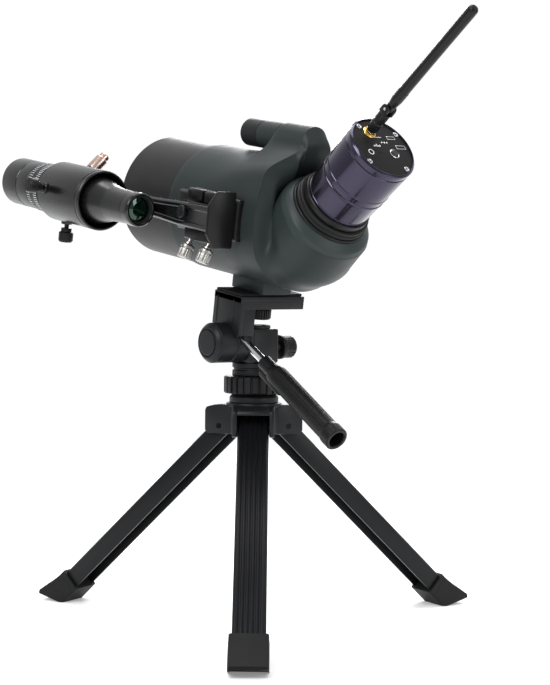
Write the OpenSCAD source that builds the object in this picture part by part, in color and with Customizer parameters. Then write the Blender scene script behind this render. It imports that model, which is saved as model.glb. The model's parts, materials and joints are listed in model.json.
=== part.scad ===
/* [Stance] */
// Angle of each leg from the vertical when open
leg_spread = 47; // [40:1:55]
// Distance from the leg pivot to the ground, along the leg
leg_reach = 246; // [200:1:300]
// Width of a leg channel
leg_w = 26; // [20:0.5:30]
// Depth of a leg channel
leg_d = 16.3; // [12:0.1:18]
// Wall of a leg channel
leg_wall = 2.2; // [1.5:0.1:3]
// Radius of the circle of leg pivots
pivot_r = 24; // [22:0.5:28]
// Radius of a leg pivot pin
pin_r = 2.5; // [2:0.1:3]
// Direction of the first leg, measured from +X
leg_turn = 231.9; // [0:0.1:360]
// Rubber wall of a foot around the leg
foot_wall = 2.3; // [1.5:0.1:4]
// Length of leg that a foot covers, along its outer face
foot_len = 42; // [30:1:60]

/* [Head] */
// Height of the tilt axis above the leg pivots
tilt_rise = 71; // [66:0.5:80]
// Nose-up tilt of the scope as it is set
tilt_rest = 8.6; // [0:0.1:15]
// Width of the head block across the tilt axis
block_w = 31; // [26:1:36]
// Radius of the tilt barrel
barrel_r = 16.8; // [15:0.1:18]
// Radius of the tilt axle
axle_r = 5; // [4:0.1:6]
// Radius of the pan lock ring
lock_ring_r = 25.5; // [23:0.5:27]
// Width of the camera plate, across the scope
plate_w = 66; // [56:1:70]
// Length of the camera plate, along the scope
plate_l = 38.5; // [34:0.5:44]
// Height of the plate's upper face over the tilt axis
plate_h = 42; // [40:0.5:46]
// Length of the pan handle from its socket
handle_len = 148; // [110:1:170]
// Radius of the handle's grip
grip_r = 9; // [7:0.1:10]
// Angle of the handle below the scope's axis
handle_drop = 22.4; // [15:0.1:35]

/* [Scope] */
// Height of the optical axis over the tilt axis
optic_h = 106; // [100:0.5:112]
// Outer radius of the sunshade hood
hood_r = 52; // [50:0.5:56]
// Wall of the hood
hood_wall = 2; // [1.5:0.1:3]
// Front end of the hood, forward of the tilt axis
hood_front = 143.5; // [130:0.5:160]
// Front end of the armoured body
armour_front = 69.3; // [60:0.1:75]
// Rear plane of the armoured body
armour_back = -56; // [-60:0.5:-54]
// Thickness of the armour over the hood's line
armour_proud = 1.5; // [1:0.1:3]
// How far the hood slides out
hood_travel = 30; // [10:1:30]
// Radius of the focus knob
focus_r = 11.5; // [9:0.1:12]
// Height of the focus knob's axis over the optical axis
focus_h = 67.8; // [66:0.1:72]
// Where the eyepiece axis meets the optical axis, behind the tilt axis
eye_back = 62.7; // [60:0.1:66]
// Radius of the eyepiece collar's outer edge
collar_r = 41.5; // [38:0.1:42]

/* [Eyepiece camera] */
// Outer radius of the camera's shell
shell_r = 29.5; // [27:0.1:31]
// Length of the camera's shell
shell_len = 65; // [50:1:80]
// Wall of the camera's shell
shell_wall = 2; // [1.5:0.1:3]
// Radius of the camera's nose, the common 31.7 mm barrel
nose_r = 15.85; // [15.85:0.01:15.85]
// Length of the antenna from the camera's end face
antenna_len = 142; // [100:1:170]

/* [Finder] */
// Distance of the finder's axis from the scope's, to the left
finder_x = 100; // [96:0.5:110]
// Height of the finder's axis over the tilt axis
finder_h = 104; // [100:0.5:108]
// Outer radius of the finder ring
ring_r = 25.5; // [24.5:0.1:28]
// Radius of the finder's front cell
cell_r = 20.7; // [18:0.1:21]
// Rear end of the finder, forward of the tilt axis
finder_back = 39.8; // [34:0.1:44]
// Overall length of the finder
finder_len = 194; // [190:1:210]

/* [Fits] */
// Radial clearance of a running fit
running = 0.06; // [0.03:0.01:0.1]
// Gap between pieces that move past each other
gap = 0.4; // [0.3:0.05:0.6]

/* [Hidden] */
$fn = 96;

black = [0.06, 0.06, 0.065];
soft_black = [0.1, 0.1, 0.105];
green_grey = [0.19, 0.24, 0.23];
steel = [0.72, 0.73, 0.74];
brass = [0.78, 0.6, 0.27];
glass = [0.35, 0.6, 0.55];
purple_black = [0.2, 0.19, 0.25];

// Heights of the stand
pivot_z = leg_reach * cos(leg_spread);
tilt_z = pivot_z + tilt_rise;
crown_r = 23.5;
crown_low = pivot_z - 7;
crown_top = pivot_z + 20;
slot_top = pivot_z + 16;
disc_top = crown_top + 7.5;
spigot_r = 13.9;
spigot_top = disc_top + 15;
neck_low = spigot_top + gap;
block_low = tilt_z - 17.5;
block_top = tilt_z + 11.5;
block_half_l = 14;
ear_w = 4.2;
ear_out = pivot_r + 14;
leg_fit = leg_w + 2 * gap;
leg_back = 6.8;
face_h = 7.5;

// Parts of the head, in the tilting frame
barrel_in = -block_w / 2 - 2 * gap;
barrel_out = barrel_in - 29.7;
axle_end = 2;
lock_screw_r = 3;
plate_t = 11;
pad_t = 2;
foot_low = plate_h + pad_t;
handle_x = barrel_in - 9;
handle_root = [handle_x, -12, 7.9];
screw_r = 3.1;

// Optics and shells
tube_r = hood_r - hood_wall - running;
tube_in = tube_r - 2.45;
lens_r = tube_in - 2.99;
mirror_r = tube_in - 3.49;
tube_back = -41.5;
tube_front = 104;
armour_r = hood_r + armour_proud;
baffle_r = 11;
mirror_y = -22;
screw_axis_h = optic_h + focus_h;
fin_r = focus_r + 1;
focus_shaft_r = 3;
knob_front = 36;
knob_back = 12.9;
sleeve_back = -6;
focus_travel = 4;
collar_e = 20;
port_top = collar_e + 6;
base_low = port_top + 7.3;
base_top = base_low + 5.7;
face_e = base_top + shell_len;
sma_at = [-6.6, 14.7];
button_at = [9.5, -5.3];
end_screw_turn = 35;
end_screw_ring = shell_r - 4.7;

// Finder
ring_back = finder_back + 58;
ring_front = ring_back + 66;
ring_in = ring_r - 2.2;
adjust_y = ring_front - 12;
finder_front = finder_back + finder_len;
cell_back = finder_front - 42;
shoe_half = 21;
shoe_back = -28;
shoe_front = 16;
shoe_out = 72;
shoe_in = 57;
shoe_screw_ys = [-17, 9];
plunger_angle = 45;
side_angle = 172;
lower_angle = 270;

// The row's box, from which the frame's origin is set
foot_half = leg_w / 2 + foot_wall;
sole_out = pivot_r + leg_reach * sin(leg_spread) + (face_h + foot_wall) / cos(leg_spread);
knob_tip = 43;
box_right = sole_out * cos(leg_turn + 120) + foot_half * abs(sin(leg_turn + 120));
box_left = min(-finder_x + knob_tip * cos(side_angle) - 0.9,
    sole_out * cos(leg_turn) - foot_half * abs(sin(leg_turn)));
antenna_tip = face_e + antenna_len;
tip_y = -eye_back - (antenna_tip - 4.2) * sin(45) + sma_at[1] * cos(45);
tip_z = optic_h + (antenna_tip - 4.2) * cos(45) + sma_at[1] * sin(45);
box_back = tip_y * cos(tilt_rest) - tip_z * sin(tilt_rest) - 4.2;
box_fore = finder_front * cos(tilt_rest) - (finder_h - cell_r) * sin(tilt_rest);
shift = [-(box_left + box_right) / 2, -(box_back + box_fore) / 2, 0];

// ---------- frames ----------

// The tripod's axis, in the row's frame
module stand() translate(shift) children();

// The tilting frame: +Y forward along the scope, from the tilt axis
module tilting() stand() translate([0, 0, tilt_z]) rotate([tilt_rest, 0, 0]) children();

// Along the optical axis, +Z forward
module optical() tilting() translate([0, 0, optic_h]) rotate([-90, 0, 0]) children();

// Along the eyepiece axis, +Z out of the collar, +Y up and forward
module eye() tilting() translate([0, -eye_back, optic_h]) rotate([45, 0, 0]) children();

// Along the finder's axis, +Z forward, +Y down
module finder() tilting() translate([-finder_x, 0, finder_h]) rotate([-90, 0, 0]) children();

// A leg's frame: +X down the leg, +Z out of its face, from the pivot
module leg_frame(i) stand() rotate([0, 0, leg_turn + 120 * i])
    translate([pivot_r, 0, pivot_z]) rotate([0, 90 - leg_spread, 0]) children();

// Round an adjuster of the finder ring: +Z outwards, at an angle from +X
module on_ring(angle) tilting() translate([-finder_x, adjust_y, finder_h])
    rotate([0, 90 - angle, 0]) children();

// ---------- shared shapes ----------

// A turned piece from a half profile of [radius, height] points
module turned(points) rotate_extrude() polygon(points);

// A tube from z0 to z1
module tube(r_out, r_in, z0, z1)
    turned([[r_in, z0], [r_out, z0], [r_out, z1], [r_in, z1]]);

// A plain cylinder from z0 to z1
module rod(r, z0, z1) translate([0, 0, z0]) cylinder(r = r, h = z1 - z0);

// A cylinder along X
module cross_rod(r, x0, x1) translate([x0, 0, 0]) rotate([0, 90, 0]) cylinder(r = r, h = x1 - x0);

// A block by its two corners
module block(low, high) translate(low) cube(high - low);

// A thumbscrew: shank from z0, head from z1 to z2
module thumbscrew(shank_r, head_r, z0, z1, z2) turned([[0, z0], [shank_r, z0], [shank_r, z1],
    [head_r - 1, z1], [head_r, z1 + 1], [head_r, z2 - 1], [head_r - 1, z2], [0, z2]]);

// ---------- tripod ----------

module tripod_crown() color(soft_black) stand() difference() {
    union() {
        rod(crown_r, crown_low + 1, crown_top);
        for (i = [0 : 2]) rotate([0, 0, leg_turn + 120 * i])
            block([14, -leg_fit / 2 - ear_w, crown_low], [ear_out, leg_fit / 2 + ear_w, crown_top - 1.5]);
    }
    rod(7.5, crown_low - 1, crown_top + 1);
    for (i = [0 : 2]) rotate([0, 0, leg_turn + 120 * i]) {
        block([pivot_r - 11.5, -leg_fit / 2, crown_low - 1], [ear_out + 1, leg_fit / 2, slot_top]);
        translate([pivot_r, 0, pivot_z]) rotate([90, 0, 0])
            translate([0, 0, -leg_fit]) cylinder(r = pin_r, h = 2 * leg_fit);
    }
}

module column_disc() color(soft_black) stand() turned([[7.2, crown_top], [20.7, crown_top],
    [20.7, crown_top + 4.5], [18, disc_top], [spigot_r, disc_top], [spigot_r, spigot_top],
    [7.2, spigot_top]]);

module leg_pivot_pins() color(steel) for (i = [0 : 2]) leg_frame(i)
    rotate([90, 0, 0]) rod(pin_r, -leg_fit / 2 - ear_w, leg_fit / 2 + ear_w);

module leg(i) color(soft_black) leg_frame(i) difference() {
    union() {
        difference() {
            block([-leg_back, -leg_w / 2, face_h - leg_d], [leg_reach - 14, leg_w / 2, face_h]);
            block([-leg_back - 1, -leg_w / 2 + leg_wall, face_h - leg_d - 1],
                [leg_reach, leg_w / 2 - leg_wall, face_h - leg_wall]);
        }
        rotate([90, 0, 0]) rod(5, -leg_w / 2, leg_w / 2);
    }
    rotate([90, 0, 0]) rod(pin_r + running, -leg_w, leg_w);
}
module leg_front() leg(0);
module leg_right() leg(1);
module leg_left() leg(2);

module foot(i) color(black) difference() {
    leg_frame(i) difference() {
        block([leg_reach - foot_len + 10, -foot_half, face_h - leg_d - foot_wall],
            [leg_reach + 16, foot_half, face_h + foot_wall]);
        block([leg_reach - foot_len, -leg_w / 2, face_h - leg_d], [leg_reach - 14, leg_w / 2, face_h]);
    }
    stand() block([-400, -400, -60], [400, 400, 0]);
}
module foot_front() foot(0);
module foot_right() foot(1);
module foot_left() foot(2);

module pan_lock_ring() color(black) stand()
    tube(lock_ring_r, spigot_r + running, disc_top + gap, spigot_top - 0.2);

module pan_neck() color(soft_black) stand() {
    rod(18.5, neck_low, block_low);
    rod(7 - running, crown_low + 4, neck_low);
}

module head_block() color(soft_black) stand() difference() {
    block([-block_w / 2, -block_half_l, block_low], [block_w / 2, block_half_l, block_top]);
    translate([0, 0, tilt_z]) cross_rod(axle_r, -block_w, axle_end);
    translate([0, 0, tilt_z - 5]) cross_rod(lock_screw_r + running, axle_end + 1.5, block_w);
}

module head_cap() color(black) stand() rod(13.5, block_top, block_top + 3);

module tilt_axle() color(steel) stand() translate([0, 0, tilt_z])
    cross_rod(axle_r, barrel_out + 3, axle_end);

module side_lock_knob() color(black) stand() translate([block_w / 2 + gap, 0, tilt_z - 5])
    rotate([0, 90, 0]) turned([[0, -10], [lock_screw_r, -10], [lock_screw_r, 0], [5, 0], [5, 9],
        [10.4, 9], [10.4, 12.6], [9.4, 13.6], [9.4, 22], [8, 24], [0, 24]]);

module tilt_bracket() color(soft_black) tilting() difference() {
    union() {
        cross_rod(barrel_r, barrel_out, barrel_in);
        translate([0, plate_l / 2, 0]) rotate([90, 0, 0]) linear_extrude(plate_l) polygon([
            [-plate_w / 2, plate_h], [-plate_w / 2, barrel_r - 8], [barrel_in, barrel_r - 8],
            [barrel_in, plate_h - plate_t], [plate_w / 2, plate_h - plate_t], [plate_w / 2, plate_h]]);
        translate(handle_root) rotate([90 + handle_drop, 0, 0]) rod(6.8, -7, 9);
    }
    cross_rod(axle_r + running, barrel_out - 1, barrel_in + 1);
    translate([0, 0, plate_h - plate_t - 1]) cylinder(r = screw_r + 0.4, h = plate_t + 2);
    translate(handle_root) rotate([90 + handle_drop, 0, 0]) rod(3.5 + running, -6, 12);
    block([-plate_w / 2 + 4, -plate_l / 2 + 4, barrel_r + 1], [barrel_in + 1, plate_l / 2 - 4, plate_h - 4]);
    block([barrel_in, -plate_l / 2 + 4, plate_h - plate_t - 1],
        [plate_w / 2 - 3, plate_l / 2 - 4, plate_h - 4]);
}

module tilt_cap() color(black) tilting() translate([barrel_out, 0, 0]) rotate([0, -90, 0])
    turned([[0, 0], [barrel_r - 0.6, 0], [barrel_r - 3.4, 3], [11.6, 3], [11.6, 2.2], [10.8, 2.2],
        [10.8, 3.6], [0, 3.6]]);

module on_handle() tilting() translate(handle_root) rotate([90 + handle_drop, 0, 0]) children();

module handle_rod() color(steel) on_handle() rod(3.5, -5.5, 56);

module handle_grip() color(black) on_handle() turned([[3.5, 34], [5.4, 34], [5.4, 46],
    [6.6, 46], [6.6, 56], [grip_r - 0.6, 60], [grip_r, 66], [grip_r, handle_len - 12],
    [grip_r + 0.8, handle_len - 9], [grip_r + 0.8, handle_len], [grip_r - 2.4, handle_len],
    [grip_r - 2.4, handle_len - 14], [0, handle_len - 14], [0, 56], [3.5, 56]]);

module camera_screw() color(black) tilting() turned([[0, plate_h - plate_t - 10.5],
    [11.7, plate_h - plate_t - 10.5], [11.7, plate_h - plate_t - 1.5],
    [screw_r, plate_h - plate_t - 1.5], [screw_r, foot_low + 6], [0, foot_low + 6]]);

module plate_pads() color(black) tilting() difference() {
    block([-plate_w / 2 + 1, -plate_l / 2 + 1, plate_h], [plate_w / 2 - 1, plate_l / 2 - 1, foot_low]);
    translate([0, 0, plate_h - 1]) cylinder(r = 5, h = pad_t + 2);
}

// ---------- scope ----------

module main_tube() color(black) difference() {
    optical() tube(tube_r, tube_in, tube_back, tube_front);
    tilting() block([-5, mirror_y - 4 - focus_travel - gap, optic_h + 30],
        [5, mirror_y + 4 + focus_travel + gap, optic_h + 60]);
}

// The body's outer shape: barrel, squared rear shoulders, finder pad and focus fin
module armour_solid() {
    optical() rod(armour_r, armour_back, armour_front);
    tilting() {
        hull() {
            translate([0, 30, optic_h]) rotate([-90, 0, 0]) cylinder(r = armour_r, h = 1, $fn = 64);
            for (side = [-1, 1]) translate([29 * side, armour_back, optic_h + 26])
                rotate([-90, 0, 0]) cylinder(r = 19, h = 1, $fn = 32);
        }
        hull() {
            translate([0, sleeve_back - 1, screw_axis_h]) rotate([-90, 0, 0])
                cylinder(r = fin_r, h = 1, $fn = 32);
            translate([0, armour_back + 8, screw_axis_h]) sphere(r = fin_r, $fn = 32);
            block([-22, armour_back, optic_h + 38], [22, sleeve_back - 8, optic_h + 46]);
        }
        translate([0, 0, screw_axis_h]) rotate([-90, 0, 0]) rod(focus_r + 0.2, sleeve_back - 2, knob_back - gap);
        block([-shoe_in, shoe_back - 6, optic_h - shoe_half + 2], [-40, 62, optic_h + shoe_half - 2]);
    }
}

module body_armour() color(green_grey) difference() {
    armour_solid();
    optical() rod(tube_r + 0.05, armour_back - 1, armour_front + 1);
    tilting() {
        translate([0, 0, screw_axis_h]) rotate([-90, 0, 0]) {
            rod(8, armour_back + 6, sleeve_back - 2);
            rod(focus_shaft_r + running, mirror_y, knob_back + 1);
        }
        block([-6.5, armour_back + 8, optic_h + 40], [6.5, mirror_y + 8 + focus_travel, screw_axis_h]);
    }
    eye() {
        rod(collar_r + 1.8, 13.5, collar_e + 1);
        rod(36, collar_e, 90);
    }
}

module hood() color(black) optical() turned([[hood_r - hood_wall, armour_front + gap],
    [hood_r, armour_front + gap], [hood_r, hood_front - 1], [hood_r - 0.8, hood_front],
    [hood_r - hood_wall, hood_front]]);

module corrector_cell() color(black) optical() turned([[lens_r - 2.5, tube_front - 14], [tube_in, tube_front - 14],
    [tube_in, tube_front], [lens_r - 1.5, tube_front], [lens_r - 1.5, tube_front - 3],
    [lens_r, tube_front - 3], [lens_r, tube_front - 12], [lens_r - 2.5, tube_front - 12]]);

module corrector_lens() color(glass) optical() difference() {
    rod(lens_r, tube_front - 12, tube_front - 3);
    translate([0, 0, tube_front + 172]) sphere(r = 180, $fn = 200);
}

module secondary_baffle() color(black) optical() tube(15, 12, tube_front - 30, tube_front - 12);

module primary_mirror() color(steel) optical() difference() {
    rod(mirror_r, mirror_y + 4, mirror_y + 14);
    rod(15, mirror_y, mirror_y + 20);
    translate([0, 0, mirror_y + 10 + 300]) sphere(r = 302, $fn = 200);
}

module mirror_cell() color(black) {
    optical() {
        tube(tube_in - running, baffle_r + running, mirror_y - 4, mirror_y + 4);
        tube(14.5, baffle_r + running, mirror_y + 4, mirror_y + 16);
    }
    tilting() difference() {
        block([-4, mirror_y - 4, optic_h + mirror_r], [4, mirror_y + 4, screw_axis_h + 6]);
        translate([0, 0, screw_axis_h]) rotate([-90, 0, 0])
            rod(focus_shaft_r + running, mirror_y - 10, mirror_y + 10);
    }
}

module rear_casting() color(soft_black) optical() turned([[9, tube_back], [tube_in, tube_back],
    [tube_in, tube_back + 4], [baffle_r, tube_back + 4], [baffle_r, tube_front - 48], [9, tube_front - 48]]);

module neck() turned([[24, -48], [46.5, -48], [46, -8], [44.2, 10], [collar_r + 0.8, 15],
    [collar_r, collar_e - 1.5], [collar_r - 4, collar_e], [24, collar_e]]);

module prism_housing() color(green_grey) difference() {
    union() {
        intersection() {
            eye() union() {
                neck();
                rod(30, -48, 0);
            }
            tilting() block([-80, -200, foot_low + 4], [80, armour_back, 300]);
        }
        intersection() {
            eye() neck();
            eye() rod(60, 14, collar_e);
        }
    }
    eye() rod(36, -46, 12);
    eye() rod(24, -46, collar_e + 1);
    optical() rod(36, armour_back - 20, armour_back + 1);
}

module erecting_prism() color(glass) tilting() translate([-15, -eye_back, optic_h]) rotate([90, 0, 90])
    linear_extrude(30) polygon([[-11, -15], [13, -15], [13, 12], [5, 12], [-11, -4]]);

module mounting_foot() color(green_grey) difference() {
    tilting() block([-15, -24, foot_low], [15, 22, optic_h - 40]);
    optical() rod(armour_r, -60, 60);
    tilting() rod(screw_r + running, foot_low - 1, foot_low + 7);
}

module focus_knob() color(soft_black) tilting() translate([0, 0, screw_axis_h]) rotate([-90, 0, 0])
    turned([[focus_shaft_r, knob_back], [focus_r, knob_back], [focus_r, knob_front - 2],
        [focus_r - 2, knob_front], [0, knob_front], [0, knob_front - 6], [focus_shaft_r, knob_front - 6]]);

module focus_screw() color(steel) tilting() translate([0, 0, screw_axis_h]) rotate([-90, 0, 0])
    rod(focus_shaft_r, armour_back + 12, knob_front - 6);

module port_ring() color(black) eye() turned([[nose_r + running, 6], [23.9, 6], [23.9, collar_e],
    [33.5, collar_e], [33.5, port_top], [22, port_top], [22, port_top + 5], [nose_r + running, port_top + 5]]);

module clamp_ring() color(black) eye() turned([[22 + running, port_top + gap], [31.8, port_top + gap],
    [31.8, base_low - gap], [nose_r + gap, base_low - gap], [nose_r + gap, port_top + 5 + gap],
    [22 + running, port_top + 5 + gap]]);

// ---------- finder ----------

// The dovetail slot's half height at a distance from the scope's mid plane
function dovetail(x) = 15 - (x - 62) * 0.35;

module shoe_screw_frame(y) tilting() translate([-67, y, optic_h - dovetail(67)])
    rotate([0, 200, 0]) children();

module finder_shoe() color(black) difference() {
    tilting() {
        translate([0, shoe_front, 0]) rotate([90, 0, 0]) linear_extrude(shoe_front - shoe_back) polygon([
            [-shoe_in, optic_h + shoe_half], [-shoe_out, optic_h + shoe_half],
            [-shoe_out, optic_h + dovetail(shoe_out)], [-62, optic_h + dovetail(62)],
            [-62, optic_h - dovetail(62)], [-shoe_out, optic_h - dovetail(shoe_out)],
            [-shoe_out, optic_h - shoe_half], [-shoe_in, optic_h - shoe_half]]);
        translate([0, shoe_back, 0]) rotate([90, 0, 0]) linear_extrude(3) polygon([
            [-shoe_in, optic_h + 23], [-75, optic_h + 23], [-83, optic_h + 12], [-83, optic_h - 12],
            [-75, optic_h - 23], [-shoe_in, optic_h - 23]]);
    }
    tilting() block([-shoe_out - 1, -9, optic_h + 16], [-62, -3, optic_h + 30]);
    for (y = shoe_screw_ys) shoe_screw_frame(y) rod(2 + running, -6, 20);
}

module shoe_thumbscrew(y) color(steel) shoe_screw_frame(y) thumbscrew(2, 5.8, gap, 13, 24.5);
module shoe_thumbscrew_front() shoe_thumbscrew(shoe_screw_ys[1]);
module shoe_thumbscrew_rear() shoe_thumbscrew(shoe_screw_ys[0]);

module finder_bracket() color(black) difference() {
    union() {
        tilting() {
            translate([0, shoe_front, 0]) rotate([90, 0, 0]) linear_extrude(shoe_front - shoe_back - gap) polygon([
                [-62 - gap, optic_h + dovetail(62) - gap], [-shoe_out, optic_h + dovetail(shoe_out) - gap],
                [-76, optic_h + dovetail(shoe_out) - gap], [-76, optic_h - dovetail(shoe_out) + gap],
                [-shoe_out, optic_h - dovetail(shoe_out) + gap], [-62 - gap, optic_h - dovetail(62) + gap]]);
            translate([-82, 0, 0]) rotate([90, 0, 90]) linear_extrude(8) polygon([
                [shoe_back + gap, optic_h - 8], [ring_back + 12, finder_h - 6], [ring_back + 12, finder_h + 6],
                [shoe_front, optic_h + 10], [shoe_back + gap, optic_h + 10]]);
        }
        finder() rod(ring_r, ring_back, ring_front);
        for (angle = [side_angle, lower_angle]) on_ring(angle) rod(5, ring_r - 1, ring_r + 2);
        on_ring(plunger_angle) rod(5.6, ring_r - 1, ring_r + 3);
    }
    finder() rod(ring_in, ring_back - 1, ring_front + 1);
    for (angle = [side_angle, lower_angle]) on_ring(angle) rod(2 + running, 10, 40);
    on_ring(plunger_angle) rod(2.5 + running, 10, 40);
    tilting() translate([-90, 7, optic_h + 2]) cross_rod(2.2, 0, 22);
}

module bracket_screw() color(steel) tilting() translate([0, 7, optic_h + 2]) {
    cross_rod(2.2, -82, -68);
    cross_rod(4.2, -84.5, -82);
}

module adjuster(angle) color(black) on_ring(angle)
    thumbscrew(2, 6.3, cell_r - 0.7 + gap, ring_r + 9, knob_tip);
module adjuster_screw_side() adjuster(side_angle);
module adjuster_screw_lower() adjuster(lower_angle);

module spring_plunger() color(steel) on_ring(plunger_angle)
    thumbscrew(2.5, 5.8, cell_r - 0.7 + gap, ring_r + 4, ring_r + 22);

module finder_tube() color(black) finder() turned([[13, finder_back + 10], [15, finder_back + 10],
    [15, finder_back + 44], [22, finder_back + 72], [ring_in, finder_back + 72],
    [ring_in, finder_back + 75], [cell_r - 0.7, finder_back + 76], [cell_r - 0.7, cell_back + 8],
    [cell_r - 2.5, cell_back + 8], [cell_r - 2.5, finder_back + 76], [13, finder_back + 46]]);

module finder_objective_cell() color(black) finder() turned([[cell_r - 0.7 + running, cell_back],
    [cell_r, cell_back], [cell_r, finder_front - 1], [cell_r - 1, finder_front], [cell_r - 3, finder_front],
    [cell_r - 3, finder_front - 8], [cell_r - 5.7, finder_front - 8], [cell_r - 5.7, cell_back + 10],
    [cell_r - 0.7 + running, cell_back + 10]]);

module finder_objective_lens() color(glass) finder() rod(cell_r - 3, finder_front - 8, finder_front - 3);

module finder_lock_ring() color(black) finder()
    tube(cell_r + 1.3, cell_r - 0.7 + running, cell_back - 22, cell_back - gap);

module finder_eyepiece() color(black) finder() turned([[13, finder_back], [14.5, finder_back],
    [15.5, finder_back + 1], [15.5, finder_back + 10 - gap], [15, finder_back + 10 - gap],
    [15, finder_back + 10], [13, finder_back + 10]]);

module finder_eye_lens() color(glass) finder() rod(13, finder_back + 2, finder_back + 6);

// ---------- eyepiece camera ----------

module camera_base() color(black) eye() turned([[13.8, 7], [nose_r, 7], [nose_r, base_low],
    [shell_r + 0.8, base_low], [shell_r + 0.8, base_top], [13.8, base_top]]);

module camera_shell() color(purple_black) difference() {
    eye() turned([[shell_r - shell_wall, base_top], [shell_r, base_top], [shell_r, base_top + 23],
        [shell_r + 0.5, base_top + 23], [shell_r + 0.5, base_top + 25.5], [shell_r, base_top + 25.5],
        [shell_r, base_top + 31.5], [shell_r + 0.5, base_top + 31.5], [shell_r + 0.5, base_top + 34],
        [shell_r, base_top + 34], [shell_r, face_e - 1.6], [shell_r - 1.2, face_e],
        [shell_r - shell_wall, face_e], [shell_r - shell_wall, face_e - 3.5],
        [shell_r - 7, face_e - 3.5], [shell_r - 7, face_e - 9], [shell_r - shell_wall, face_e - 9]]);
    for (i = [0 : 3]) eye() rotate([0, 0, end_screw_turn + 90 * i])
        translate([end_screw_ring, 0, 0]) rod(1.25, face_e - 12, face_e);
}

module camera_end_plate() color(black) eye() difference() {
    rod(shell_r - shell_wall, face_e - 3.5, face_e - 1);
    for (i = [0 : 3]) rotate([0, 0, end_screw_turn + 90 * i])
        translate([end_screw_ring, 0, 0]) rod(1.25, face_e - 12, face_e);
    translate(sma_at) rod(3.1, face_e - 12, face_e);
    translate(button_at) rod(3 + running, face_e - 12, face_e);
    block([14, 6, face_e - 12], [22, 9, face_e]);
}

module end_screws() color(steel) eye() for (i = [0 : 3]) rotate([0, 0, end_screw_turn + 90 * i])
    translate([end_screw_ring, 0, 0]) {
        rod(1.25, face_e - 8, face_e - 1);
        rod(2.3, face_e - 1, face_e + 0.4);
    }

module circuit_board() color([0.1, 0.35, 0.2]) eye() {
    rod(21, face_e - 14, face_e - 12.4);
    block([-12, -9, face_e - 21], [12, 9, face_e - 14]);
    block([13, 5, face_e - 12.4], [20, 9, face_e - 8]);
    rod(21, base_top, base_top + 1.6);
    block([-5, -4, base_top + 1.6], [5, 4, base_top + 4]);
    for (side = [-1, 1]) translate([18 * side, 0, 0]) rod(1.5, base_top + 1.6, face_e - 14);
}

module power_button() color(soft_black) eye() translate(button_at) rod(3, face_e - 5, face_e + 0.5);

module sma_connector() color(brass) eye() translate(sma_at) {
    rod(3.1, face_e - 6, face_e - 1);
    translate([0, 0, face_e - 1]) cylinder(r = 4.8, h = 3.4, $fn = 6);
    rod(3.1, face_e + 2.4, face_e + 9);
}

pin_e = face_e + 27;

module antenna_base() color(black) eye() translate(sma_at) {
    difference() {
        turned([[3.1 + running, face_e + 2.4 + gap], [4.7, face_e + 2.4 + gap], [4.7, pin_e - 4.2],
            [0, pin_e - 4.2], [0, face_e + 9 + gap], [3.1 + running, face_e + 9 + gap]]);
    }
    intersection() {
        for (side = [-1, 1]) block([side * 3.4 - 1.2, -4, pin_e - 4.2], [side * 3.4 + 1.2, 4, pin_e + 4]);
        union() {
            translate([0, 0, pin_e]) cross_rod(4, -5, 5);
            block([-5, -4, pin_e - 5], [5, 4, pin_e]);
        }
    }
    translate([0, 0, pin_e]) cross_rod(1.2, -2.3, 2.3);
}

module antenna_whip() color(black) eye() translate(sma_at) difference() {
    union() {
        translate([0, 0, pin_e]) cross_rod(3.6, -1.8, 1.8);
        block([-1.8, -2.6, pin_e], [1.8, 2.6, pin_e + 6]);
        turned([[0, pin_e + 5], [3.6, pin_e + 5], [4.5, pin_e + 12], [4.5, pin_e + 40],
            [4.2, face_e + antenna_len - 4.2], [0, face_e + antenna_len - 4.2]]);
        translate([0, 0, face_e + antenna_len - 4.2]) sphere(r = 4.2);
    }
    translate([0, 0, pin_e]) cross_rod(1.2 + running, -3, 3);
}

tripod_crown();
column_disc();
leg_pivot_pins();
leg_front();
leg_right();
leg_left();
foot_front();
foot_right();
foot_left();
pan_lock_ring();
pan_neck();
head_block();
head_cap();
tilt_axle();
side_lock_knob();
tilt_bracket();
tilt_cap();
handle_rod();
handle_grip();
camera_screw();
plate_pads();
main_tube();
body_armour();
hood();
corrector_cell();
corrector_lens();
secondary_baffle();
primary_mirror();
mirror_cell();
rear_casting();
prism_housing();
erecting_prism();
mounting_foot();
focus_knob();
focus_screw();
port_ring();
clamp_ring();
finder_shoe();
shoe_thumbscrew_front();
shoe_thumbscrew_rear();
finder_bracket();
bracket_screw();
adjuster_screw_side();
adjuster_screw_lower();
spring_plunger();
finder_tube();
finder_objective_cell();
finder_objective_lens();
finder_lock_ring();
finder_eyepiece();
finder_eye_lens();
camera_base();
camera_shell();
camera_end_plate();
end_screws();
circuit_board();
power_button();
sma_connector();
antenna_base();
antenna_whip();
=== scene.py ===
"""Looks of a spotting scope on a small folding tripod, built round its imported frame."""
import json
import math

import bmesh
import bpy
from mathutils import Matrix, Vector


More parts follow.
